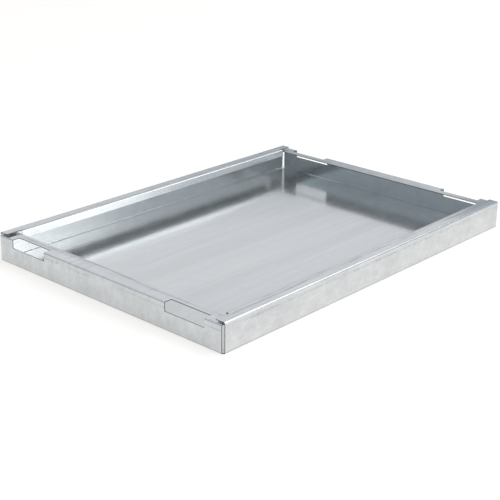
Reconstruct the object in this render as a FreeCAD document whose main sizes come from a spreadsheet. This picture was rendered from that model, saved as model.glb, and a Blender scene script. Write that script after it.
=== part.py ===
"""Folded galvanised sheet-steel tray, open at its four corners.

One flat blank is folded into a shallow rectangular tray. The long walls end in a
rim folded inward and a lip turned down from it; the short walls end in a plain rim
that passes under the long ones. Four windows are cut through the folds between the
short walls and their rims, and leave a narrow bar of rim across each.

The blank is modelled as the panels between its fold lines. Each panel carries the
bend that raises it and meets the panel it grows from on the bend's tangent line.

Frame: millimetres, origin at the centre of the underside, +X along the long walls,
+Y across the tray towards the back wall, +Z up.
"""
import math
import os

import FreeCAD
import Part
import Sketcher

X_AXIS = FreeCAD.Vector(1, 0, 0)
Z_AXIS = FreeCAD.Vector(0, 0, 1)

# Driving dimensions: name, value in millimetres, what it is.
DIMENSIONS = (
    ("tray_length", 600.0, "outside of one short wall to the other"),
    ("tray_width", 430.0, "outside of one long wall to the other"),
    ("tray_height", 41.0, "underside to the top of the long rims"),
    ("sheet", 1.0, "thickness of the sheet"),
    ("bend_radius", 1.2, "inside radius of every bend"),
    ("corner_relief", 0.8, "how far a panel's end stands back past the bend tangent at a corner"),
    ("relief_radius", 1.2, "round relief in each corner of the floor, where two bends would cross"),
    ("rim_clearance", 2.0, "air between a short rim and the long rim above it"),
    ("long_rim_width", 20.0, "outside of a long wall to where a square bend of its lip would end"),
    ("lip_height", 10.0, "top of the long rim to the lower edge of its lip"),
    ("lip_turn", 75.0, "degrees that a lip is turned down from its rim"),
    ("lip_clearance", 2.0, "inner edge of a short rim to the end of the lip beside it"),
    ("lip_relief", 2.8, "how far the lip's end cuts reach into the flat of the long rim"),
    ("end_rim_width", 23.5, "outside of a short wall to the inner edge of its rim"),
    ("bar_width", 11.8, "width of the bar of rim left across a window"),
    ("window_inset", 31.0, "outside of a long wall to the near edge of a window"),
    ("window_length", 67.5, "length of a window along the short wall"),
    ("window_depth", 12.5, "top of the short rim down to the window's lower edge"),
)

# Sizes worked out from the driving ones, as expressions for the document.
OUTER_RADIUS = "(Sizes.bend_radius + Sizes.sheet)"
CORNER_GAP = f"({OUTER_RADIUS} + Sizes.corner_relief)"
END_RIM_TOP = "(Sizes.tray_height - Sizes.sheet - Sizes.rim_clearance)"
LONG_PANEL_HALF = f"(Sizes.tray_length / 2 - {CORNER_GAP})"
END_PANEL_HALF = f"(Sizes.tray_width / 2 - {CORNER_GAP})"
LIP_HALF = "(Sizes.tray_length / 2 - Sizes.end_rim_width - Sizes.lip_clearance)"
LONG_RIM_FLAT_END = f"(Sizes.long_rim_width - {OUTER_RADIUS})"
LIP_LEG_DROP = f"(Sizes.lip_height - {OUTER_RADIUS} + Sizes.bend_radius * cos(Sizes.lip_turn))"
LIP_LEG = f"({LIP_LEG_DROP} / sin(Sizes.lip_turn))"
WINDOW_FAR = "(Sizes.tray_width / 2 - Sizes.window_inset)"
WINDOW_NEAR = f"({WINDOW_FAR} - Sizes.window_length)"

# A side's outward direction is +Y turned by this many degrees about +Z.
BACK_YAW, LEFT_YAW, FRONT_YAW, RIGHT_YAW = 0, 90, 180, 270

# A square bend, in degrees. Only the lips are turned less.
SQUARE = "90"

# Degrees about +X that a panel has behind it: a wall none, a rim one, a lip two.
WALL_TURN, RIM_TURN, LIP_TURN = 0, 90, 180

doc = FreeCAD.newDocument("FoldedTray")
sizes = doc.addObject("Spreadsheet::Sheet", "Sizes")
for row, (alias, value, meaning) in enumerate(DIMENSIONS, start=1):
    sizes.set(f"A{row}", alias)
    sizes.set(f"B{row}", str(value))
    sizes.set(f"C{row}", meaning)
    sizes.setAlias(f"B{row}", alias)
doc.recompute()


def number(expression):
    """The present value of an expression, to start a sketch near its solution."""
    return float(sizes.evalExpression(expression))


def new_sketch(body, name, role):
    """A sketch on one of the body's own origin planes."""
    plane = next(item for item in body.Origin.OriginFeatures if item.Role == role)
    sketch = body.newObject("Sketcher::SketchObject", name)
    sketch.AttachmentSupport = [(plane, "")]
    sketch.MapMode = "FlatFace"
    return sketch


def bind_constraint(sketch, constraint, name, expression):
    """Add a driving constraint, name it and tie it to the sheet."""
    index = sketch.addConstraint(constraint)
    sketch.renameConstraint(index, name)
    sketch.setExpression(f"Constraints.{name}", expression)


def draw_rectangle(sketch, name, left, right, low, high):
    """A closed rectangle whose four edges stand at the given expressions."""
    x0, x1, y0, y1 = (number(edge) for edge in (left, right, low, high))
    corners = [FreeCAD.Vector(x, y, 0) for x, y in ((x0, y0), (x1, y0), (x1, y1), (x0, y1))]
    first = sketch.GeometryCount
    for index in range(4):
        sketch.addGeometry(Part.LineSegment(corners[index], corners[(index + 1) % 4]), False)
    for index in range(4):
        following = first + (index + 1) % 4
        sketch.addConstraint(Sketcher.Constraint("Coincident", first + index, 2, following, 1))
    for index, direction in enumerate(("Horizontal", "Vertical", "Horizontal", "Vertical")):
        sketch.addConstraint(Sketcher.Constraint(direction, first + index))
    for point, label, axis, edge in (
        (first, "left", "DistanceX", left),
        (first, "low", "DistanceY", low),
        (first + 2, "right", "DistanceX", right),
        (first + 2, "high", "DistanceY", high),
    ):
        constraint = Sketcher.Constraint(axis, -1, 1, point, 1, number(edge))
        bind_constraint(sketch, constraint, f"{name}_{label}", edge)


def draw_circle(sketch, name, centre_x, centre_y, radius):
    """A circle whose centre and radius stand at the given expressions."""
    centre = FreeCAD.Vector(number(centre_x), number(centre_y), 0)
    circle = sketch.addGeometry(Part.Circle(centre, Z_AXIS, number(radius)), False)
    across = Sketcher.Constraint("DistanceX", -1, 1, circle, 3, centre.x)
    bind_constraint(sketch, across, f"{name}_across", centre_x)
    along = Sketcher.Constraint("DistanceY", -1, 1, circle, 3, centre.y)
    bind_constraint(sketch, along, f"{name}_along", centre_y)
    bind_constraint(sketch, Sketcher.Constraint("Radius", circle, number(radius)), f"{name}_radius", radius)


def cut_through(body, sketch, name):
    """Cut the sketch's outlines right through the body, both ways from its plane."""
    pocket = body.newObject("PartDesign::Pocket", name)
    pocket.Profile = sketch
    pocket.Type = "ThroughAll"
    pocket.SideType = "Symmetric"
    doc.recompute()
    before = pocket.BaseFeature.Shape.Volume
    if not pocket.Shape.Volume < before:
        raise RuntimeError(f"{name} removed nothing")


def draw_bend_and_leg(sketch, leg, degrees):
    """Section of a bend and the straight leg after it.

    The sheet arrives along the sketch's X axis with its outer face on that axis, turns
    up by so many degrees round a centre on the Y axis and runs on for the leg's length.
    """
    outer, inner = number(OUTER_RADIUS), number("Sizes.bend_radius")
    reach, turned = number(leg), math.radians(number(degrees))
    centre = FreeCAD.Vector(0, outer, 0)
    sweep = (-math.pi / 2, turned - math.pi / 2)
    outer_arc = sketch.addGeometry(Part.ArcOfCircle(Part.Circle(centre, Z_AXIS, outer), *sweep), False)
    inner_arc = sketch.addGeometry(Part.ArcOfCircle(Part.Circle(centre, Z_AXIS, inner), *sweep), False)

    def on_leg(radius, along):
        """A point on the face of the leg that carries on from the arc of this radius."""
        x = radius * math.sin(turned) + along * math.cos(turned)
        y = outer - radius * math.cos(turned) + along * math.sin(turned)
        return FreeCAD.Vector(x, y, 0)

    def line(start, end):
        return sketch.addGeometry(Part.LineSegment(start, end), False)

    outer_side = line(on_leg(outer, 0), on_leg(outer, reach))
    leg_end = line(on_leg(outer, reach), on_leg(inner, reach))
    inner_side = line(on_leg(inner, reach), on_leg(inner, 0))
    start_edge = line(FreeCAD.Vector(0, outer - inner, 0), FreeCAD.Vector(0, 0, 0))
    for constraint in (
        ("Coincident", outer_arc, 1, -1, 1),
        ("Tangent", outer_arc, 2, outer_side, 1),
        ("Coincident", outer_side, 2, leg_end, 1),
        ("Coincident", leg_end, 2, inner_side, 1),
        ("Tangent", inner_side, 2, inner_arc, 2),
        ("Coincident", inner_arc, 1, start_edge, 1),
        ("Coincident", start_edge, 2, outer_arc, 1),
        ("Coincident", inner_arc, 3, outer_arc, 3),
        ("PointOnObject", outer_arc, 3, -2),
        ("Perpendicular", outer_side, leg_end),
        ("Vertical", start_edge),
    ):
        sketch.addConstraint(Sketcher.Constraint(*constraint))
    bend = Sketcher.Constraint("Radius", inner_arc, inner)
    bind_constraint(sketch, bend, "bend_radius", "Sizes.bend_radius")
    thickness = Sketcher.Constraint("Distance", start_edge, 1, start_edge, 2, outer - inner)
    bind_constraint(sketch, thickness, "sheet", "Sizes.sheet")
    straight = Sketcher.Constraint("Distance", outer_side, 1, outer_side, 2, reach)
    bind_constraint(sketch, straight, "leg", leg)
    bind_constraint(sketch, Sketcher.Constraint("Angle", outer_side, turned), "turned", f"{degrees} * 1 deg")


def place_panel(body, turn, yaw, outward, height):
    """Stand the panel on its side: outward and height say where its bend starts."""
    side_rotation = FreeCAD.Rotation(Z_AXIS, yaw)
    direction = side_rotation.multVec(FreeCAD.Vector(0, 1, 0))
    body.Placement.Rotation = side_rotation.multiply(FreeCAD.Rotation(X_AXIS, turn))
    body.setExpression("Placement.Base.x", f"{round(direction.x)} * ({outward})")
    body.setExpression("Placement.Base.y", f"{round(direction.y)} * ({outward})")
    body.setExpression("Placement.Base.z", height)


def folded_panel(label, leg, half_length, degrees=SQUARE):
    """A bend and its leg, as long as the panel, centred on the body's X axis."""
    body = doc.addObject("PartDesign::Body", label)
    body.Label = label
    section = new_sketch(body, f"{label}_section", "YZ_Plane")
    draw_bend_and_leg(section, leg, degrees)
    pad = body.newObject("PartDesign::Pad", f"{label}_length")
    pad.Profile = section
    pad.SideType = "Symmetric"
    pad.setExpression("Length", f"2 * {half_length}")
    doc.recompute()
    return body


def cut_windows(body, low, high):
    """The two windows' share of a short wall or of its rim."""
    label = body.Label
    sketch = new_sketch(body, f"{label}_windows", "XZ_Plane")
    draw_rectangle(sketch, "one_end", f"-{WINDOW_FAR}", f"-{WINDOW_NEAR}", low, high)
    draw_rectangle(sketch, "other_end", WINDOW_NEAR, WINDOW_FAR, low, high)
    cut_through(body, sketch, f"{label}_window_cut")


def cut_lip_reliefs(body):
    """Narrow the ends of a long rim, where the lip is left off."""
    label = body.Label
    sketch = new_sketch(body, f"{label}_lip_reliefs", "XZ_Plane")
    beyond_end = f"({LONG_PANEL_HALF} + Sizes.sheet)"
    low = f"{LONG_RIM_FLAT_END} - Sizes.lip_relief"
    high = f"{LONG_RIM_FLAT_END} + Sizes.sheet"
    draw_rectangle(sketch, "one_end", f"-{beyond_end}", f"-{LIP_HALF}", low, high)
    draw_rectangle(sketch, "other_end", LIP_HALF, beyond_end, low, high)
    cut_through(body, sketch, f"{label}_lip_relief_cut")


def build_floor():
    """The flat bottom between the four lower bends, with its corners relieved."""
    half_long = f"(Sizes.tray_length / 2 - {OUTER_RADIUS})"
    half_short = f"(Sizes.tray_width / 2 - {OUTER_RADIUS})"
    body = doc.addObject("PartDesign::Body", "floor")
    body.Label = "floor"
    outline = new_sketch(body, "floor_outline", "XY_Plane")
    draw_rectangle(outline, "plate", f"-{half_long}", half_long, f"-{half_short}", half_short)
    pad = body.newObject("PartDesign::Pad", "floor_plate")
    pad.Profile = outline
    pad.setExpression("Length", "Sizes.sheet")
    doc.recompute()
    corners = new_sketch(body, "floor_reliefs", "XY_Plane")
    for side_x, name_x in (("-", "left"), ("", "right")):
        for side_y, name_y in (("-", "front"), ("", "back")):
            centre = f"{side_x}{half_long}", f"{side_y}{half_short}"
            draw_circle(corners, f"{name_x}_{name_y}", *centre, "Sizes.relief_radius")
    cut_through(body, corners, "floor_relief_cut")
    return body


def build_long_side(side, yaw):
    """Wall, rim and lip of one long side."""
    half_width = "Sizes.tray_width / 2"
    wall = folded_panel(f"{side}_wall", f"Sizes.tray_height - 2 * {OUTER_RADIUS}", LONG_PANEL_HALF)
    place_panel(wall, WALL_TURN, yaw, f"{half_width} - {OUTER_RADIUS}", "0")
    rim = folded_panel(f"{side}_rim", f"{LONG_RIM_FLAT_END} - {OUTER_RADIUS}", LONG_PANEL_HALF)
    place_panel(rim, RIM_TURN, yaw, half_width, f"Sizes.tray_height - {OUTER_RADIUS}")
    cut_lip_reliefs(rim)
    lip = folded_panel(f"{side}_lip", LIP_LEG, LIP_HALF, "Sizes.lip_turn")
    place_panel(lip, LIP_TURN, yaw, f"{half_width} - {LONG_RIM_FLAT_END}", "Sizes.tray_height")
    return [wall, rim, lip]


def build_short_side(side, yaw):
    """Wall and rim of one short side, with the windows through the fold between them."""
    half_length = "Sizes.tray_length / 2"
    wall = folded_panel(f"{side}_wall", f"{END_RIM_TOP} - 2 * {OUTER_RADIUS}", END_PANEL_HALF)
    place_panel(wall, WALL_TURN, yaw, f"{half_length} - {OUTER_RADIUS}", "0")
    cut_windows(wall, f"{END_RIM_TOP} - Sizes.window_depth", END_RIM_TOP)
    rim = folded_panel(f"{side}_rim", f"Sizes.end_rim_width - {OUTER_RADIUS}", END_PANEL_HALF)
    place_panel(rim, RIM_TURN, yaw, half_length, f"{END_RIM_TOP} - {OUTER_RADIUS}")
    cut_windows(rim, "-Sizes.sheet", "Sizes.end_rim_width - Sizes.bar_width")
    return [wall, rim]


panels = [build_floor()]
for side, yaw in (("front", FRONT_YAW), ("back", BACK_YAW)):
    panels += build_long_side(side, yaw)
for side, yaw in (("left", LEFT_YAW), ("right", RIGHT_YAW)):
    panels += build_short_side(side, yaw)
doc.recompute()

for item in doc.Objects:
    if "Invalid" in item.State or "Error" in item.State:
        raise RuntimeError(f"{item.Label} did not recompute: {item.State}")
for panel in panels:
    if panel.Shape.isNull() or not panel.Shape.isValid() or len(panel.Shape.Solids) != 1:
        raise RuntimeError(f"{panel.Label} is not one valid solid")

os.makedirs("parts", exist_ok=True)
for panel in panels:
    panel.Shape.exportStep(f"parts/{panel.Label}.step")
    box = panel.Shape.BoundBox
    print(f"{panel.Label}: {box.XLength:.1f} x {box.YLength:.1f} x {box.ZLength:.1f} mm")
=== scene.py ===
# %% [markdown]
# # A folded tray of galvanised sheet steel
# The real tray is one flat blank of sheet steel about a millimetre thick. A press brake
# folds its four sides up, then folds their tops inward, and on the long sides it folds a
# short lip down again. This lesson draws every panel flat, as the maker does, and then
# folds it, so that the pattern of the zinc runs on over each fold as it does on metal.
# The engineering model is loaded first. It is the frame that everything here is fitted to.

# %% Load the frame
import math
from dataclasses import dataclass

import bmesh
import bpy
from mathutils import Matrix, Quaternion, Vector, noise


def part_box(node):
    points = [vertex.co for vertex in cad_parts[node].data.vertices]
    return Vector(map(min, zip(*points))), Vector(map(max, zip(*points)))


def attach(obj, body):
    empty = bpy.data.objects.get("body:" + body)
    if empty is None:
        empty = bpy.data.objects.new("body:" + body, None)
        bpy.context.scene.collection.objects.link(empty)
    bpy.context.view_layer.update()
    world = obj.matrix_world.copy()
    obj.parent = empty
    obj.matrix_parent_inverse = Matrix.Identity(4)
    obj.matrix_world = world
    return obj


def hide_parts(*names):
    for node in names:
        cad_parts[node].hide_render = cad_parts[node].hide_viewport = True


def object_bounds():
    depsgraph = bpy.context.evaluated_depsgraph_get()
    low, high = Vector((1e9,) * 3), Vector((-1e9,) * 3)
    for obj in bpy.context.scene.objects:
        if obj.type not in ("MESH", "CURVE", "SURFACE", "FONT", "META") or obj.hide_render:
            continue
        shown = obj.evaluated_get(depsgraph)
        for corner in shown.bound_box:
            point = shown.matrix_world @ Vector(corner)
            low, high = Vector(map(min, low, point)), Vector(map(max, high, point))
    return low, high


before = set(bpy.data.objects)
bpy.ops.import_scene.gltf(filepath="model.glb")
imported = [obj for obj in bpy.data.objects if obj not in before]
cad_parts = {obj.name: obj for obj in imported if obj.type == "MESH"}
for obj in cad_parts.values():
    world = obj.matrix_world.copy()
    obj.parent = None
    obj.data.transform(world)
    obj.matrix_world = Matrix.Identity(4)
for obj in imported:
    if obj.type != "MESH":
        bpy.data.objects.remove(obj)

cad_low, cad_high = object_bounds()
print("the tray measures", [round(side * 1000, 1) for side in cad_high - cad_low], "mm")

# %% [markdown]
# ## The view
# The camera comes early, because every later choice is judged through it. A tray is
# usually pictured from above one corner. The place could be typed in as coordinates and
# angles, but it is easier to read and change as a turn round the tray, a height above the
# table, and a distance from the point that the camera is aimed at.

# %% Stand the camera
VIEW_TURN = math.radians(-47.65)
VIEW_HEIGHT = math.radians(21.46)
VIEW_ROLL = math.radians(0.56)
VIEW_DISTANCE = 1.699
SENSOR_WIDTH = 36
FOCAL_LENGTH = 83.98
AIMED_AT = Vector((-0.0119, 0.0072, -0.0102))

back_from_tray = Vector((
    math.sin(VIEW_TURN) * math.cos(VIEW_HEIGHT),
    -math.cos(VIEW_TURN) * math.cos(VIEW_HEIGHT),
    math.sin(VIEW_HEIGHT),
))
camera_data = bpy.data.cameras.new("view from the near corner")
camera_data.sensor_width = SENSOR_WIDTH
camera_data.lens = FOCAL_LENGTH
camera = bpy.data.objects.new("view from the near corner", camera_data)
camera.location = AIMED_AT + back_from_tray * VIEW_DISTANCE
camera.rotation_mode = "QUATERNION"
level = back_from_tray.to_track_quat("Z", "Y")
camera.rotation_quaternion = level @ Quaternion((0, 0, 1), VIEW_ROLL)
bpy.context.scene.collection.objects.link(camera)
bpy.context.scene.camera = camera
print("camera stands at", [round(c, 3) for c in camera.location])

# %% [markdown]
# ## The table and the light
# Bare metal has hardly any colour of its own: it shows what is around it. So the table
# and the lights are as much a part of the finish as the material. The table is one large
# pale plane. It glows a little, as an overexposed white table does, so it stays white.

# %% Lay the pale table
TABLE_HALF = 30.0
TABLE_GREY = (0.36, 0.36, 0.36, 1)
TABLE_DULLNESS = 0.9
TABLE_GLOW = 0.65
TABLE_GLOW_TINT = (1, 0.95, 0.90, 1)

table_mesh = bpy.data.meshes.new("pale table")
corner_signs = ((-1, -1), (1, -1), (1, 1), (-1, 1))
table_corners = [(x * TABLE_HALF, y * TABLE_HALF, 0) for x, y in corner_signs]
table_mesh.from_pydata(table_corners, [], [(0, 1, 2, 3)])
table = bpy.data.objects.new("pale_table", table_mesh)
bpy.context.scene.collection.objects.link(table)
table_paint = bpy.data.materials.new("pale table")
table_paint.use_nodes = True
paint = table_paint.node_tree.nodes["Principled BSDF"]
paint.inputs["Base Color"].default_value = TABLE_GREY
paint.inputs["Roughness"].default_value = TABLE_DULLNESS
paint.inputs["Emission Color"].default_value = TABLE_GLOW_TINT
paint.inputs["Emission Strength"].default_value = TABLE_GLOW
table_mesh.materials.append(table_paint)
print("table is", 2 * TABLE_HALF, "m across")

# %% [markdown]
# The room is a dim blue grey, which is what the dark walls of the tray show. Large soft
# panels stand round the tray. The front one lights the outer walls, and two weaker strips
# beside it let it fade out instead of ending in a hard line. The overhead one lights the
# folds from above, and the far one stands where the bottom of the tray mirrors it. The
# left and the high far ones fill in. Area lamps are used because a small lamp would draw
# hot spots on metal.

# %% Hang the lights
def hang_panel(name, centre, aim, width, height, radiance, tint=(1, 1, 1)):
    """A rectangular lamp that looks at a point, as bright as the radiance says."""
    lamp = bpy.data.lights.new(name, "AREA")
    lamp.shape = "RECTANGLE"
    lamp.size = width
    lamp.size_y = height
    lamp.color = tint
    lamp.energy = radiance * math.pi * width * height
    holder = bpy.data.objects.new(name, lamp)
    holder.location = centre
    holder.rotation_mode = "QUATERNION"
    holder.rotation_quaternion = (Vector(centre) - Vector(aim)).to_track_quat("Z", "Y")
    holder.visible_camera = False
    bpy.context.scene.collection.objects.link(holder)
    print(name, "hangs", round(Vector(centre).length, 2), "m away")
    return holder


ROOM_GREY = (0.42, 0.475, 0.515, 1)

room = bpy.data.worlds.new("grey room")
room.use_nodes = True
room.node_tree.nodes["Background"].inputs["Color"].default_value = ROOM_GREY
room.node_tree.nodes["Background"].inputs["Strength"].default_value = 1.0
bpy.context.scene.world = room

TRAY = (0, 0, 0)
COOL = (0.80, 1.0, 1.12)
WARM = (1.10, 1.0, 0.97)
hang_panel("front panel", (0.5, -4.6, 2.25), (0.5, 0, 2.25), width=5.2, height=3.3, radiance=4.2)
hang_panel("front panel's edge", (3.5, -4.6, 2.0), (3.5, 0, 2.0), width=0.8, height=3.8, radiance=1.5)
hang_panel("front panel's fringe", (4.5, -4.6, 2.0), (4.5, 0, 2.0), width=1.2, height=3.8, radiance=0.2)
hang_panel("overhead panel", (2.45, -0.9, 3.9), TRAY, width=3.4, height=3.3, radiance=2.5)
hang_panel("left panel", (-4.4, -0.2, 2.6), TRAY, width=5.0, height=4.2, radiance=0.95, tint=COOL)
hang_panel("far panel", (2.9, 3.4, 2.1), TRAY, width=3.6, height=1.2, radiance=0.5, tint=WARM)
hang_panel("high far panel", (-0.6, 3.0, 3.4), TRAY, width=3.0, height=1.6, radiance=0.5)
bpy.context.scene.view_settings.view_transform = "Standard"

# %% [markdown]
# ## Zinc, as node groups
# Hot-dip zinc is not one grey. It has clouds where the bath cooled unevenly, long soft
# streaks from the rolling mill, a fine grain, rubbed dashes where the press brake gripped
# it beside a fold, and hair scratches from handling. A picture of zinc could be wrapped
# round the tray, but it would blur close up and repeat. Each effect is made here as a
# node group with its own inputs, and every kind of panel uses them in its own measure.
# They all read the map called "sheet", which holds where a point lay on the flat blank.

# %% Short ways to write nodes
def new_group(name, inputs, outputs):
    """An empty shader group that takes maps and gives values, and its two end nodes."""
    group = bpy.data.node_groups.new(name, "ShaderNodeTree")
    for label in inputs:
        group.interface.new_socket(label, in_out="INPUT", socket_type="NodeSocketVector")
    for label in outputs:
        group.interface.new_socket(label, in_out="OUTPUT", socket_type="NodeSocketFloat")
    start = group.nodes.new("NodeGroupInput")
    end = group.nodes.new("NodeGroupOutput")
    return group, start, end


def wire(tree, source, target):
    """Join a socket, or give a socket a plain number."""
    if isinstance(source, bpy.types.NodeSocket):
        tree.links.new(source, target)
    else:
        target.default_value = source


def maths(tree, operation, first, second=0.0, third=0.0):
    node = tree.nodes.new("ShaderNodeMath")
    node.operation = operation
    wire(tree, first, node.inputs[0])
    wire(tree, second, node.inputs[1])
    wire(tree, third, node.inputs[2])
    return node.outputs[0]


def between(tree, value, low, high, to_low=0.0, to_high=1.0):
    """Move a value from one range to another, without going past its ends."""
    node = tree.nodes.new("ShaderNodeMapRange")
    node.interpolation_type = "SMOOTHSTEP"
    for source, label in ((value, "Value"), (low, "From Min"), (high, "From Max"),
                          (to_low, "To Min"), (to_high, "To Max")):
        wire(tree, source, node.inputs[label])
    return node.outputs["Result"]


def stretched(tree, vector, across, along, turn=0.0):
    """The sheet's coordinates, scaled so that one unit is one feature of a pattern."""
    node = tree.nodes.new("ShaderNodeMapping")
    node.inputs["Rotation"].default_value = (0, 0, turn)
    node.inputs["Scale"].default_value = (1 / along, 1 / across, 1)
    wire(tree, vector, node.inputs["Vector"])
    return node.outputs["Vector"]


def mottle(tree, vector, detail=2.0, roughness=0.5, scale=1.0):
    node = tree.nodes.new("ShaderNodeTexNoise")
    node.inputs["Scale"].default_value = scale
    node.inputs["Detail"].default_value = detail
    node.inputs["Roughness"].default_value = roughness
    wire(tree, vector, node.inputs["Vector"])
    return node.outputs["Fac"]


print("node helpers are ready")

# %% [markdown]
# ### Clouds and grain
# The clouds are two sizes of soft noise. The grain is a cell pattern: each cell is one
# small crystal of zinc, and takes a tone of its own, because it faces its own way.

# %% Make the clouds and the grain
BROAD_SHARE = 0.55


def make_clouds():
    group, start, end = new_group(
        "zinc clouds and grain",
        ["Sheet"],
        ["Cloud", "Grain"],
    )
    sheet_map = start.outputs["Sheet"]
    broad_map = stretched(group, sheet_map, across=0.045, along=0.045)
    broad = mottle(group, broad_map, detail=3.0, roughness=0.55)
    narrow = mottle(group, stretched(group, sheet_map, across=0.012, along=0.016), detail=2.0)
    both = maths(group, "MULTIPLY", broad, BROAD_SHARE)
    both = maths(group, "MULTIPLY_ADD", narrow, 1 - BROAD_SHARE, both)
    wire(group, between(group, both, low=0.34, high=0.66), end.inputs["Cloud"])
    crystals = group.nodes.new("ShaderNodeTexVoronoi")
    crystals.feature = "F1"
    crystals.inputs["Scale"].default_value = 1.0
    wire(group, stretched(group, sheet_map, across=0.0026, along=0.0034), crystals.inputs["Vector"])
    tone = group.nodes.new("ShaderNodeSeparateColor")
    wire(group, crystals.outputs["Color"], tone.inputs[0])
    wire(group, tone.outputs[0], end.inputs["Grain"])
    return group


zinc_clouds = make_clouds()
print(zinc_clouds.name, "has", len(zinc_clouds.nodes), "nodes")

# %% [markdown]
# ### Rolling streaks
# The coil is rolled along the tray's length, so everything the rolls did is drawn out
# that way. Noise that is squeezed across and pulled along gives such streaks. Broad ones
# change the tone, and very fine ones, used as bumps, smear reflections as real sheet does.

# %% Make the rolling streaks
def make_streaks():
    group, start, end = new_group(
        "rolling streaks",
        ["Sheet"],
        ["Band", "Streak", "Fine"],
    )
    sheet_map = start.outputs["Sheet"]
    band = mottle(group, stretched(group, sheet_map, across=0.055, along=1.6), detail=1.5)
    wire(group, between(group, band, low=0.30, high=0.55), end.inputs["Band"])
    streak_map = stretched(group, sheet_map, across=0.007, along=0.22)
    streak = mottle(group, streak_map, detail=3.0, roughness=0.6)
    wire(group, between(group, streak, low=0.30, high=0.70), end.inputs["Streak"])
    fine = mottle(group, stretched(group, sheet_map, across=0.0009, along=0.03), detail=2.0)
    wire(group, fine, end.inputs["Fine"])
    return group


rolling_streaks = make_streaks()
print(rolling_streaks.name, "has", len(rolling_streaks.nodes), "nodes")

# %% [markdown]
# ### Marks of the press brake, and painted light on the folds
# The brake's tool bears on the sheet a few millimetres from each fold, and leaves a row
# of rubbed dashes there. Sliding over the bench leaves long dark smears beside an edge.
# The fold itself gets painted light over its arc: painted shade on the bottom folds of the walls, standing
# for the shaded ground they mirror, and a painted highlight on the top folds of the rims.
# The map called "press" tells how far a point is from the fold behind it and from the
# edge or fold before it. Noise that is squeezed along that distance runs beside the
# fold, whichever way the fold lies, and a band at the right distance cuts the dashes out.

# %% Make the press marks
TOOL_STAND_OFF = 0.0055
TOOL_MARK_HALF = 0.0018
SMEAR_REACH = 0.015
FOLD_LINE_HALF = 0.0004


def beside_fold(tree, distance, sheet_map, across, along):
    """Coordinates for a pattern that runs along the fold, whichever way the fold lies."""
    place = tree.nodes.new("ShaderNodeSeparateXYZ")
    wire(tree, sheet_map, place.inputs[0])
    joined = tree.nodes.new("ShaderNodeCombineXYZ")
    wire(tree, maths(tree, "DIVIDE", distance, across), joined.inputs[0])
    wire(tree, maths(tree, "DIVIDE", place.outputs["X"], along), joined.inputs[1])
    wire(tree, maths(tree, "DIVIDE", place.outputs["Y"], along), joined.inputs[2])
    return joined.outputs[0]


def make_marks_and_painted_fold():
    group, start, end = new_group(
        "press brake marks and painted fold light",
        ["Sheet", "Press"],
        ["Dashes", "Fold", "Rub"],
    )
    sheet_map = start.outputs["Sheet"]
    apart = group.nodes.new("ShaderNodeSeparateXYZ")
    wire(group, start.outputs["Press"], apart.inputs[0])
    behind, before = apart.outputs["X"], apart.outputs["Y"]

    off_line = maths(group, "ABSOLUTE", maths(group, "SUBTRACT", before, TOOL_STAND_OFF))
    in_band = between(group, off_line, low=TOOL_MARK_HALF, high=0.0)
    dash_map = beside_fold(group, before, sheet_map, across=0.0015, along=0.0035)
    broken = between(group, mottle(group, dash_map, detail=2.0), low=0.45, high=0.60)
    sparse = mottle(group, stretched(group, sheet_map, across=0.06, along=0.06), detail=1.0)
    here = between(group, sparse, low=0.30, high=0.52)
    dashes = maths(group, "MULTIPLY", maths(group, "MULTIPLY", in_band, broken), here)
    wire(group, dashes, end.inputs["Dashes"])

    # Fold: a mask over the arc of each fold. It carries painted light: painted shade on the walls and a
    # painted highlight on the rims.
    wire(group, between(group, behind, low=FOLD_LINE_HALF, high=-FOLD_LINE_HALF), end.inputs["Fold"])

    close = between(group, before, low=SMEAR_REACH, high=0.001)
    smear_map = beside_fold(group, before, sheet_map, across=0.0045, along=0.09)
    smear = between(group, mottle(group, smear_map, detail=4.0, roughness=0.6), low=0.42, high=0.68)
    wire(group, maths(group, "MULTIPLY", close, smear), end.inputs["Rub"])
    return group


brake_marks_and_painted_fold = make_marks_and_painted_fold()
print(brake_marks_and_painted_fold.name, "has", len(brake_marks_and_painted_fold.nodes), "nodes")

# %% [markdown]
# ### Handling scratches
# Trays slide over each other in a stack. That leaves hair-thin scratches in a few
# directions, most of them short. A stretched noise cut off near its top gives thin
# islands that look like them; two turned copies cross as real scratches do.

# %% Make the handling scratches
def make_scratches():
    group, start, end = new_group(
        "handling scratches",
        ["Sheet"],
        ["Scratch"],
    )
    sheet_map = start.outputs["Sheet"]
    found = None
    for turn, across, along in ((0.5, 0.0011, 0.028), (-1.05, 0.0013, 0.022)):
        lines = mottle(group, stretched(group, sheet_map, across, along, turn), detail=1.0)
        thin = between(group, lines, low=0.70, high=0.76)
        found = thin if found is None else maths(group, "MAXIMUM", found, thin)
    patch = mottle(group, stretched(group, sheet_map, across=0.09, along=0.09), detail=1.0)
    here = between(group, patch, low=0.45, high=0.62)
    wire(group, maths(group, "MULTIPLY", found, here), end.inputs["Scratch"])
    return group


handling_scratches = make_scratches()
print(handling_scratches.name, "has", len(handling_scratches.nodes), "nodes")

# %% [markdown]
# ## The galvanised sheet
# One function mixes the groups, and each kind of panel gives it its own measures: the
# bottom shows the rolling most, the walls show clouds and tool marks, and the rims are
# rubbed the most. The effects move the tone between a dark and a light zinc, and the
# roughness with it. The metal itself is a plain metallic shader.

# %% Mix the galvanised sheet
DARK_ZINC = (0.400, 0.413, 0.421, 1)
LIGHT_ZINC = (0.754, 0.769, 0.778, 1)
ZINC_METALLIC = 0.88
ZINC_DULLING = {"Cloud": 0.03, "Grain": 0.03, "Rub": 0.03, "Dashes": 0.08}
FINE_RELIEF = 0.0000045
GRAIN_RELIEF = 0.0000006
SCRATCH_RELIEF = -0.000002


def place_group(tree, group, **sources):
    node = tree.nodes.new("ShaderNodeGroup")
    node.node_tree = group
    for label, source in sources.items():
        wire(tree, source, node.inputs[label])
    return node


def read_map(tree, name):
    node = tree.nodes.new("ShaderNodeUVMap")
    node.uv_map = name
    return node.outputs["UV"]


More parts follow.
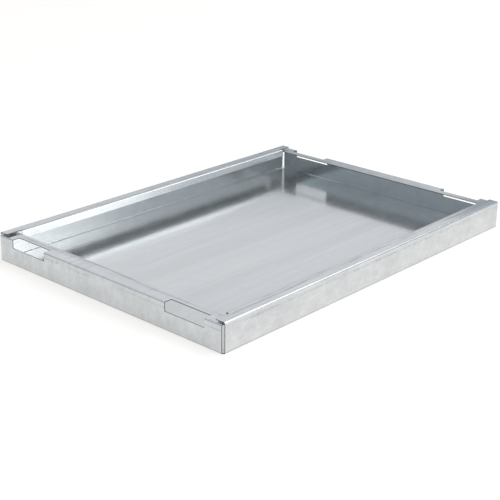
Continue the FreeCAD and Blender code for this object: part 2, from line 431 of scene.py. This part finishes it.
def galvanised(name, cloud, grain, band, streak, scratch, dashes=0.0, rub=0.0, painted_fold_shade_and_highlight=0.0, dullness=0.12):
    """Zinc whose tone is pushed by each effect, as far as its measure says."""
    material = bpy.data.materials.new(name)
    material.use_nodes = True
    tree = material.node_tree
    metal = tree.nodes["Principled BSDF"]
    metal.inputs["Metallic"].default_value = ZINC_METALLIC
    sheet_map = read_map(tree, "sheet")
    clouds = place_group(tree, zinc_clouds, Sheet=sheet_map)
    rolled = place_group(tree, rolling_streaks, Sheet=sheet_map)
    marked_and_painted_fold = place_group(tree, brake_marks_and_painted_fold, Sheet=sheet_map, Press=read_map(tree, "press"))
    scratched = place_group(tree, handling_scratches, Sheet=sheet_map)

    tone = 0.5
    for source, measure in (
        (clouds.outputs["Cloud"], cloud),
        (clouds.outputs["Grain"], grain),
        (rolled.outputs["Band"], band),
        (rolled.outputs["Streak"], streak),
    ):
        centred = maths(tree, "SUBTRACT", source, 0.5)
        tone = maths(tree, "MULTIPLY_ADD", centred, measure, tone)
    for source, measure in (
        (marked_and_painted_fold.outputs["Dashes"], -dashes),
        (marked_and_painted_fold.outputs["Rub"], -rub),
        # painted light: the fold's arc is pushed darker as painted shade, or lighter as a painted
        # highlight, by this measure
        (marked_and_painted_fold.outputs["Fold"], painted_fold_shade_and_highlight),
        (scratched.outputs["Scratch"], scratch),
    ):
        tone = maths(tree, "MULTIPLY_ADD", source, measure, tone)

    colour = tree.nodes.new("ShaderNodeMix")
    colour.data_type = "RGBA"
    colour.inputs["A"].default_value = DARK_ZINC
    colour.inputs["B"].default_value = LIGHT_ZINC
    wire(tree, tone, colour.inputs["Factor"])
    wire(tree, colour.outputs["Result"], metal.inputs["Base Color"])

    dull = dullness
    for group_node, label in ((clouds, "Cloud"), (clouds, "Grain"), (marked_and_painted_fold, "Rub"), (marked_and_painted_fold, "Dashes")):
        dull = maths(tree, "MULTIPLY_ADD", group_node.outputs[label], ZINC_DULLING[label], dull)
    wire(tree, dull, metal.inputs["Roughness"])

    relief = maths(tree, "MULTIPLY", rolled.outputs["Fine"], FINE_RELIEF)
    relief = maths(tree, "MULTIPLY_ADD", clouds.outputs["Grain"], GRAIN_RELIEF, relief)
    relief = maths(tree, "MULTIPLY_ADD", scratched.outputs["Scratch"], SCRATCH_RELIEF, relief)
    bump = tree.nodes.new("ShaderNodeBump")
    bump.inputs["Distance"].default_value = 1.0
    wire(tree, relief, bump.inputs["Height"])
    wire(tree, bump.outputs["Normal"], metal.inputs["Normal"])
    return material


bottom_zinc = galvanised(
    "galvanised bottom", cloud=0.08, grain=0.06, band=0.12, streak=0.08, scratch=0.08,
)
inner_zinc = galvanised(
    "galvanised inner faces", cloud=0.05, grain=0.06, band=0.05, streak=0.06, scratch=0.06,
)
# The walls' bottom folds are darkened by -0.5: painted shade for the shaded ground they mirror.
wall_zinc = galvanised(
    "galvanised outer walls", cloud=0.20, grain=0.12, band=0.05, streak=0.05, scratch=0.08,
    dashes=0.55, rub=0.12, painted_fold_shade_and_highlight=-0.5, dullness=0.15,
)
# The rims' top folds are lightened by 0.1: a painted highlight.
rim_zinc = galvanised(
    "galvanised rims", cloud=0.14, grain=0.12, band=0.05, streak=0.12, scratch=0.08,
    dashes=0.2, rub=0.6, painted_fold_shade_and_highlight=0.1,
)
under_zinc = galvanised(
    "galvanised underside", cloud=0.25, grain=0.10, band=0.12, streak=0.10, scratch=0.2,
    dashes=0.4, rub=0.3, dullness=0.24,
)
print("five measures of zinc are mixed")

# %% [markdown]
# ### The cut edge
# Where the blank was cut, the zinc is missing and bare steel shows: darker, duller and
# torn into fine lines by the shear. It is only a millimetre wide, but it draws the dark
# outline round each window, so it gets a material of its own.

# %% Make the cut edge
DARK_STEEL = (0.03, 0.03, 0.033, 1)
LIGHT_STEEL = (0.14, 0.14, 0.145, 1)
TEAR_RELIEF = 0.00004


def cut_steel():
    material = bpy.data.materials.new("cut edge of the sheet")
    material.use_nodes = True
    tree = material.node_tree
    metal = tree.nodes["Principled BSDF"]
    metal.inputs["Metallic"].default_value = 1.0
    where = tree.nodes.new("ShaderNodeTexCoord").outputs["Object"]
    tears = mottle(tree, where, detail=3.0, roughness=0.7, scale=1800.0)
    stains = mottle(tree, where, detail=2.0, scale=90.0)
    scratched = place_group(tree, handling_scratches, Sheet=read_map(tree, "sheet"))
    tone = maths(tree, "MULTIPLY_ADD", stains, 0.5, maths(tree, "MULTIPLY", tears, 0.5))
    tone = maths(tree, "MULTIPLY_ADD", scratched.outputs["Scratch"], 0.2, tone)
    ramp = tree.nodes.new("ShaderNodeValToRGB")
    ramp.color_ramp.elements[0].position = 0.3
    ramp.color_ramp.elements[0].color = DARK_STEEL
    ramp.color_ramp.elements[1].position = 0.75
    ramp.color_ramp.elements[1].color = LIGHT_STEEL
    wire(tree, tone, ramp.inputs["Fac"])
    wire(tree, ramp.outputs["Color"], metal.inputs["Base Color"])
    dull = between(tree, tears, low=0.3, high=0.7, to_low=0.35, to_high=0.6)
    wire(tree, dull, metal.inputs["Roughness"])
    bump = tree.nodes.new("ShaderNodeBump")
    bump.inputs["Distance"].default_value = 1.0
    wire(tree, maths(tree, "MULTIPLY", tears, TEAR_RELIEF), bump.inputs["Height"])
    wire(tree, bump.outputs["Normal"], metal.inputs["Normal"])
    return material


cut_edge = cut_steel()
print(cut_edge.name, "is ready")

# %% [markdown]
# ## Measuring the blank
# From here on the work is in millimetres until a panel is folded. The thickness of the
# sheet and the outside radius of its folds can be read from the frame. A fold uses up
# some of the blank: a quarter circle measured along the middle of the sheet.

# %% Measure the sheet and its folds
MM = 1000.0
bottom_low, bottom_high = (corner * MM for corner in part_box("floor"))
sheet = bottom_high.z - bottom_low.z
fold = cad_high.x * MM - bottom_high.x
mid_radius = fold - sheet / 2
quarter = mid_radius * math.pi / 2
print("sheet", round(sheet, 2), "mm; fold radius", round(fold, 2), "mm")
print("a square fold uses", round(quarter, 2), "mm of the blank")

# %% [markdown]
# Each side of the tray has its wall, its rim, and on the long sides its lip. Every one is
# a fold and a straight leg. A panel is described by where it lies on the flat blank and
# by where its fold begins once the panel before it is in place. The lips are turned down
# by less than a square fold, so they lean. How far is found by halving: a guess is raised
# or lowered until the folded lip is as wide as its box.

# %% Describe a panel
OUTWARD = {"front": (0, -1), "back": (0, 1), "left": (-1, 0), "right": (1, 0)}
LEAST_LIP_TURN = math.radians(45)
SQUARE_TURN = math.radians(90)
HALVINGS = 40


@dataclass
class Panel:
    name: str
    out: Vector        # away from the middle of the tray
    along: Vector      # along the fold
    reach: float       # middle of the tray to where the panel starts on the blank
    half: float        # half its length
    leg: float         # its straight part
    turned: float      # how far the sheet has turned before this fold
    begin: tuple       # distance out and height where the fold starts, mid-sheet
    fold_turn: float = SQUARE_TURN

    @property
    def bend(self):
        return mid_radius * self.fold_turn

    @property
    def depth(self):
        return self.bend + self.leg


def open_fold(wide, tall):
    """The turn and the leg of a fold that is less than square, from its box."""
    low, high = LEAST_LIP_TURN, SQUARE_TURN
    for _ in range(HALVINGS):
        turn = (low + high) / 2
        leg = (tall - fold + (fold - sheet) * math.cos(turn)) / math.sin(turn)
        if fold * math.sin(turn) + leg * math.cos(turn) > wide:
            low = turn
        else:
            high = turn
    return turn, leg


def measured(side, part, reach):
    """Read a panel's own sizes from the box of its node."""
    out = Vector((*OUTWARD[side], 0))
    along = Vector((-out.y, out.x, 0))
    low, high = (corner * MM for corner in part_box(f"{side}_{part}"))
    inner, outer = sorted((low.dot(out), high.dot(out)))
    half = max(abs(low.dot(along)), abs(high.dot(along)))
    tall = high.z - low.z - fold
    if part == "wall":
        return Panel(f"{side}_wall", out, along, reach, half, tall, 0, (outer - fold, sheet / 2))
    if part == "rim":
        begin = (outer - sheet / 2, low.z)
        return Panel(f"{side}_rim", out, along, reach, half, outer - inner - fold, SQUARE_TURN, begin)
    turn, leg = open_fold(outer - inner, high.z - low.z)
    return Panel(f"{side}_lip", out, along, reach, half, leg, math.pi, (outer, high.z - sheet / 2), turn)


panels = {}
for side, part in (
    ("front", "wall"), ("front", "rim"), ("front", "lip"),
    ("back", "wall"), ("back", "rim"), ("back", "lip"),
    ("left", "wall"), ("left", "rim"),
    ("right", "wall"), ("right", "rim"),
):
    if part == "wall":
        reach = abs(bottom_high.dot(Vector((*OUTWARD[side], 0))))
    else:
        before = panels[f"{side}_wall" if part == "rim" else f"{side}_rim"]
        reach = before.reach + before.depth
    panels[f"{side}_{part}"] = measured(side, part, reach)
    depth = panels[f"{side}_{part}"].depth
    print(side, part, "lies", round(reach, 1), "mm out and is", round(depth, 1), "mm deep")

# %% [markdown]
# ## Drawing the outlines
# An outline is a list of corners on the flat panel: how far along the fold, and how far
# across from where the fold begins. Both ends of the tray are alike, so half an outline
# is enough, and the other half is its mirror image. The walls stop short of each other at
# the corners, because this tray is not welded: a narrow slit stays open there.

# %% Draw the outlines of walls, rims and lips
RELIEF_RADIUS = 1.2
RELIEF_STEPS = 8
WINDOW_INSET = 31.0
WINDOW_LENGTH = 67.5
WINDOW_DEPTH = 12.5
BAR_WIDTH = 11.8
LIP_RELIEF = 2.8


def mirrored(half_outline):
    return half_outline + [(-along, across) for along, across in reversed(half_outline)]


def window_ends(panel):
    """Where a window starts and stops along an end wall."""
    far = cad_high.y * MM - WINDOW_INSET
    return far - WINDOW_LENGTH, far


def wall_outline(panel, windows):
    half_outline = [(panel.half, 0), (panel.half, panel.depth)]
    if windows:
        near, far = window_ends(panel)
        sill = panel.depth + fold - WINDOW_DEPTH
        half_outline += [(far, panel.depth), (far, sill), (near, sill), (near, panel.depth)]
    return mirrored(half_outline)


def end_rim_outline(panel):
    near, far = window_ends(panel)
    bar = panel.depth - BAR_WIDTH
    half_outline = [(near, 0), (near, bar), (far, bar), (far, 0), (panel.half, 0)]
    half_outline.append((panel.half, panel.depth))
    return mirrored(half_outline)


def long_rim_outline(panel, lip):
    cut_back = panel.depth - LIP_RELIEF
    half_outline = [(panel.half, 0), (panel.half, cut_back), (lip.half, cut_back), (lip.half, panel.depth)]
    return mirrored(half_outline)


def lip_outline(panel):
    return mirrored([(panel.half, 0), (panel.half, panel.depth)])


print("a window is", WINDOW_LENGTH, "mm long and leaves a bar", BAR_WIDTH, "mm wide")

# %% [markdown]
# ## From an outline to a thin plate
# The outline becomes one flat face. It is then scored with straight cuts: many close
# together where it will bend, and a few wide apart elsewhere, so that the plate can turn
# smoothly and take a slight slackness. A plate with thickness comes from two copies of
# the face, joined round the border. A Solidify modifier could do that too, but here the
# border faces must be told apart: some are real cut edges, and some meet the next panel.

# %% Turn an outline into a plate
GRID = 15.0
FOLD_STEPS = 12
LEG_GRID = 6.0
CLOSE = 1e-3
ON_THE_CUT = 1e-4
INSIDE, OUTSIDE, CUT = 0, 1, 2


def flat_face(corners):
    plate = bmesh.new()
    face = plate.faces.new([plate.verts.new(corner) for corner in corners])
    face.normal_update()
    if face.normal.z < 0:
        face.normal_flip()
    return plate


def score(plate, direction, places):
    """Cut the flat face straight across at each distance in a direction."""
    for place in places:
        everything = plate.verts[:] + plate.edges[:] + plate.faces[:]
        bmesh.ops.bisect_plane(
            plate, geom=everything, dist=ON_THE_CUT, plane_co=direction * place, plane_no=direction
        )


def thicken(flat, is_joint):
    """Two copies of the flat face, half a sheet up and down, joined round the border."""
    plate = bmesh.new()
    above = {v: plate.verts.new((v.co.x, v.co.y, sheet / 2)) for v in flat.verts}
    below = {v: plate.verts.new((v.co.x, v.co.y, -sheet / 2)) for v in flat.verts}
    for face in flat.faces:
        plate.faces.new([above[v] for v in face.verts]).material_index = INSIDE
        plate.faces.new([below[v] for v in reversed(face.verts)]).material_index = OUTSIDE
    for edge in flat.edges:
        if not edge.is_boundary:
            continue
        loop = edge.link_loops[0]
        first, second = loop.vert, loop.link_loop_next.vert
        border = plate.faces.new([below[first], below[second], above[second], above[first]])
        border.material_index = INSIDE if is_joint((first.co + second.co) / 2) else CUT
    plate.normal_update()
    flat.free()
    return plate


print("a fold is drawn in", FOLD_STEPS, "steps")

# %% [markdown]
# Sheared sheet is never razor sharp: the edge is broken by a tenth of a millimetre, and
# that catches the light. Only the free edges are broken. Where two panels meet the metal
# runs on, so nothing may show there.

# %% Break the free edges
EDGE_BREAK = 0.13


def break_free_edges(plate):
    free = []
    for edge in plate.edges:
        level = abs(edge.verts[0].co.z - edge.verts[1].co.z) < CLOSE
        kinds = {face.material_index for face in edge.link_faces}
        if level and CUT in kinds and len(kinds) == 2:
            free.append(edge)
    bmesh.ops.bevel(
        plate, geom=free, offset=EDGE_BREAK, offset_type="OFFSET", segments=2, profile=0.5,
        affect="EDGES", clamp_overlap=False, material=CUT,
    )
    plate.normal_update()
    return len(free)


print("free edges are broken by", EDGE_BREAK, "mm")

# %% [markdown]
# ## Folding
# A point on the plate is folded by asking how far across the panel it lies. Over the
# first part it rides round the arc of the fold, and after that it goes straight on. The
# same sum turns the surface normals, so light flows over the fold without facets. Thin
# sheet is never dead flat either: a wall gets a slack of a few hundredths of a
# millimetre, always inward, and none at its folds.

# %% Fold a panel
WALL_SLACK = 0.06
WALL_SWELL_LENGTH = 140
HALF_STEP = 0.5        # a slope is measured over one millimetre


def round_the_fold(panel, across):
    """Distance out, height and angle of the middle of the sheet at a point across."""
    turned = panel.turned + min(across, panel.bend) / mid_radius
    centre_out = panel.begin[0] - mid_radius * math.sin(panel.turned)
    centre_up = panel.begin[1] + mid_radius * math.cos(panel.turned)
    straight = max(across - panel.bend, 0.0)
    out = centre_out + mid_radius * math.sin(turned) + straight * math.cos(turned)
    up = centre_up - mid_radius * math.cos(turned) + straight * math.sin(turned)
    return out, up, turned


def folded_point(panel, point):
    across = point.dot(panel.out) - panel.reach
    out, up, turned = round_the_fold(panel, across)
    inward = point.z + wall_slack(panel, point.dot(panel.along), across)
    out -= inward * math.sin(turned)
    up += inward * math.cos(turned)
    return panel.out * out + panel.along * point.dot(panel.along) + Vector((0, 0, up))


def folded_normal(panel, point, normal):
    along, across = point.dot(panel.along), point.dot(panel.out) - panel.reach
    turned = round_the_fold(panel, across)[2]
    ahead = panel.out * math.cos(turned) + Vector((0, 0, math.sin(turned)))
    inside = Vector((0, 0, math.cos(turned))) - panel.out * math.sin(turned)
    tilt_along = wall_slack(panel, along + HALF_STEP, across)
    tilt_along -= wall_slack(panel, along - HALF_STEP, across)
    tilt_across = wall_slack(panel, along, across + HALF_STEP)
    tilt_across -= wall_slack(panel, along, across - HALF_STEP)
    inside = (inside - panel.along * tilt_along - ahead * tilt_across).normalized()
    return ahead * normal.dot(panel.out) + panel.along * normal.dot(panel.along) + inside * normal.z


def wall_slack(panel, along, across):
    if not panel.name.endswith("_wall"):
        return 0.0
    share = min(max((across - panel.bend) / panel.leg, 0.0), 1.0)
    own_row = (3.7 * panel.out.x, 5.1 * panel.out.y)     # so that no two walls are alike
    swell = 0.5 + 0.5 * noise.noise(Vector((along / WALL_SWELL_LENGTH, *own_row)))
    return WALL_SLACK * swell * math.sin(math.pi * share) ** 2


print("a wall may bow", WALL_SLACK, "mm")

# %% [markdown]
# ### The slack of the bottom
# The bottom is the largest flat panel, so it is the slackest: a few tenths of a
# millimetre, which is enough to bend what it mirrors. A modifier with a noise texture
# could do this, but a sum gives the normals too, and it keeps the folds straight.

# %% Slacken the bottom
BOTTOM_SLACK = 0.40
BOTTOM_SWELL = (130, 95)


def bottom_slack(x, y):
    """A gentle unevenness that dies away towards the folds."""
    edge = (1 - (x / bottom_high.x) ** 2) * (1 - (y / bottom_high.y) ** 2)
    swell = 0.5 + 0.5 * noise.noise(Vector((x / BOTTOM_SWELL[0], y / BOTTOM_SWELL[1], 2.3)))
    return BOTTOM_SLACK * swell * max(edge, 0.0)


def slack_point(panel, point):
    return point + Vector((0, 0, sheet / 2 + bottom_slack(point.x, point.y)))


def slack_normal(panel, point, normal):
    tilt_x = bottom_slack(point.x + HALF_STEP, point.y) - bottom_slack(point.x - HALF_STEP, point.y)
    tilt_y = bottom_slack(point.x, point.y + HALF_STEP) - bottom_slack(point.x, point.y - HALF_STEP)
    return (normal - Vector((tilt_x, tilt_y, 0)) * normal.z).normalized()


print("the middle of the bottom rises", round(bottom_slack(0, 0), 2), "mm")

# %% [markdown]
# ## Finishing a piece
# Before a plate is folded, its flat position is written to the map "sheet", and its
# distances from the folds to the map "press". Then the points and the normals are
# folded, and the piece takes the place of its plain engineering solid in the frame.

# %% Finish a piece
def finish_piece(name, panel, plate, move_point, turn_normal, press, finishes):
    sheet_layer = plate.loops.layers.uv.new("sheet")
    press_layer = plate.loops.layers.uv.new("press")
    normals = []
    for face in plate.faces:
        face.smooth = True
        for loop in face.loops:
            point = loop.vert.co
            loop[sheet_layer].uv = (point.x / MM, point.y / MM)
            loop[press_layer].uv = [distance / MM for distance in press(point)]
            normals.append(turn_normal(panel, point, face.normal).normalized())
    places = [move_point(panel, v.co) / MM for v in plate.verts]
    for v, place in zip(plate.verts, places):
        v.co = place
    mesh = bpy.data.meshes.new(name)
    plate.to_mesh(mesh)
    plate.free()
    mesh.normals_split_custom_set(normals)
    for material in finishes:
        mesh.materials.append(material)
    piece = bpy.data.objects.new(f"{name}_sheet", mesh)
    bpy.context.scene.collection.objects.link(piece)
    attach(piece, "root")
    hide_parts(name)
    print(name, "has", len(mesh.polygons), "faces")
    return piece


def steps(low, high, gap):
    """Evenly spaced places between two ends, about a gap apart and alike on both sides of 0."""
    count = max(1, round((high - low) / gap))
    return [low + (high - low) * step / count for step in range(1, count)]


# %% [markdown]
# ## The bottom
# The bottom is the blank's middle. Where two folds would cross, a small round bite is
# punched out of each corner, or the steel would tear. The bottom never folds, so its
# plate is only slackened.

# %% Make the bottom
def bottom_outline():
    half_x, half_y = bottom_high.x, bottom_high.y
    corners = []
    for turn, (sign_x, sign_y) in enumerate(((1, 1), (-1, 1), (-1, -1), (1, -1))):
        for step in range(RELIEF_STEPS + 1):
            angle = -math.pi / 2 * (1 + step / RELIEF_STEPS) + turn * math.pi / 2
            x = sign_x * half_x + RELIEF_RADIUS * math.cos(angle)
            y = sign_y * half_y + RELIEF_RADIUS * math.sin(angle)
            corners.append((x, y, 0))
    return corners


def on_a_fold(point):
    beside_end = bottom_high.x - abs(point.x) < CLOSE
    beside_side = bottom_high.y - abs(point.y) < CLOSE
    return beside_end or beside_side


bottom_flat = flat_face(bottom_outline())
score(bottom_flat, Vector((1, 0, 0)), steps(-bottom_high.x, bottom_high.x, GRID))
score(bottom_flat, Vector((0, 1, 0)), steps(-bottom_high.y, bottom_high.y, GRID))
bottom_plate = thicken(bottom_flat, on_a_fold)
print("the bottom has", break_free_edges(bottom_plate), "broken edges")
finish_piece(
    "floor", None, bottom_plate, slack_point, slack_normal,
    lambda point: (bottom_high.x - abs(point.x), bottom_high.y - abs(point.y)),
    (bottom_zinc, under_zinc, cut_edge),
)

# %% [markdown]
# ## Walls, rims and lips
# Every other panel goes the same way: draw it where it lies on the blank, score it,
# thicken it, break its free edges and fold it. Only its outline and its measure of zinc
# differ. A panel's first line is always a joint, and its last is one if another follows.
# The lips keep the plain inner zinc all over, on their cut edges too.

# %% Make the walls, rims and lips
def fold_panel(panel, outline, finishes, goes_on):
    corners = [panel.out * (panel.reach + across) + panel.along * along for along, across in outline]
    flat = flat_face(corners)
    bends = [panel.reach + panel.bend * step / FOLD_STEPS for step in range(1, FOLD_STEPS + 1)]
    legs = [panel.reach + panel.bend + place for place in steps(0, panel.leg, LEG_GRID)]
    score(flat, panel.out, bends + legs)
    score(flat, panel.along, steps(-panel.half, panel.half, GRID))

    def is_joint(point):
        across = point.dot(panel.out) - panel.reach
        return across < CLOSE or (goes_on and panel.depth - across < CLOSE)

    def press(point):
        across = point.dot(panel.out) - panel.reach
        return across - panel.bend, panel.depth - across

    plate = thicken(flat, is_joint)
    break_free_edges(plate)
    return finish_piece(panel.name, panel, plate, folded_point, folded_normal, press, finishes)


wall_finishes = (inner_zinc, wall_zinc, cut_edge)
rim_finishes = (inner_zinc, rim_zinc, cut_edge)
lip_finishes = (inner_zinc, inner_zinc, inner_zinc)
for side in ("front", "back"):
    wall, rim, lip = (panels[f"{side}_{part}"] for part in ("wall", "rim", "lip"))
    fold_panel(wall, wall_outline(wall, windows=False), wall_finishes, goes_on=True)
    fold_panel(rim, long_rim_outline(rim, lip), rim_finishes, goes_on=True)
    fold_panel(lip, lip_outline(lip), lip_finishes, goes_on=False)
for side in ("left", "right"):
    wall, rim = (panels[f"{side}_{part}"] for part in ("wall", "rim"))
    fold_panel(wall, wall_outline(wall, windows=True), wall_finishes, goes_on=True)
    fold_panel(rim, end_rim_outline(rim), rim_finishes, goes_on=False)
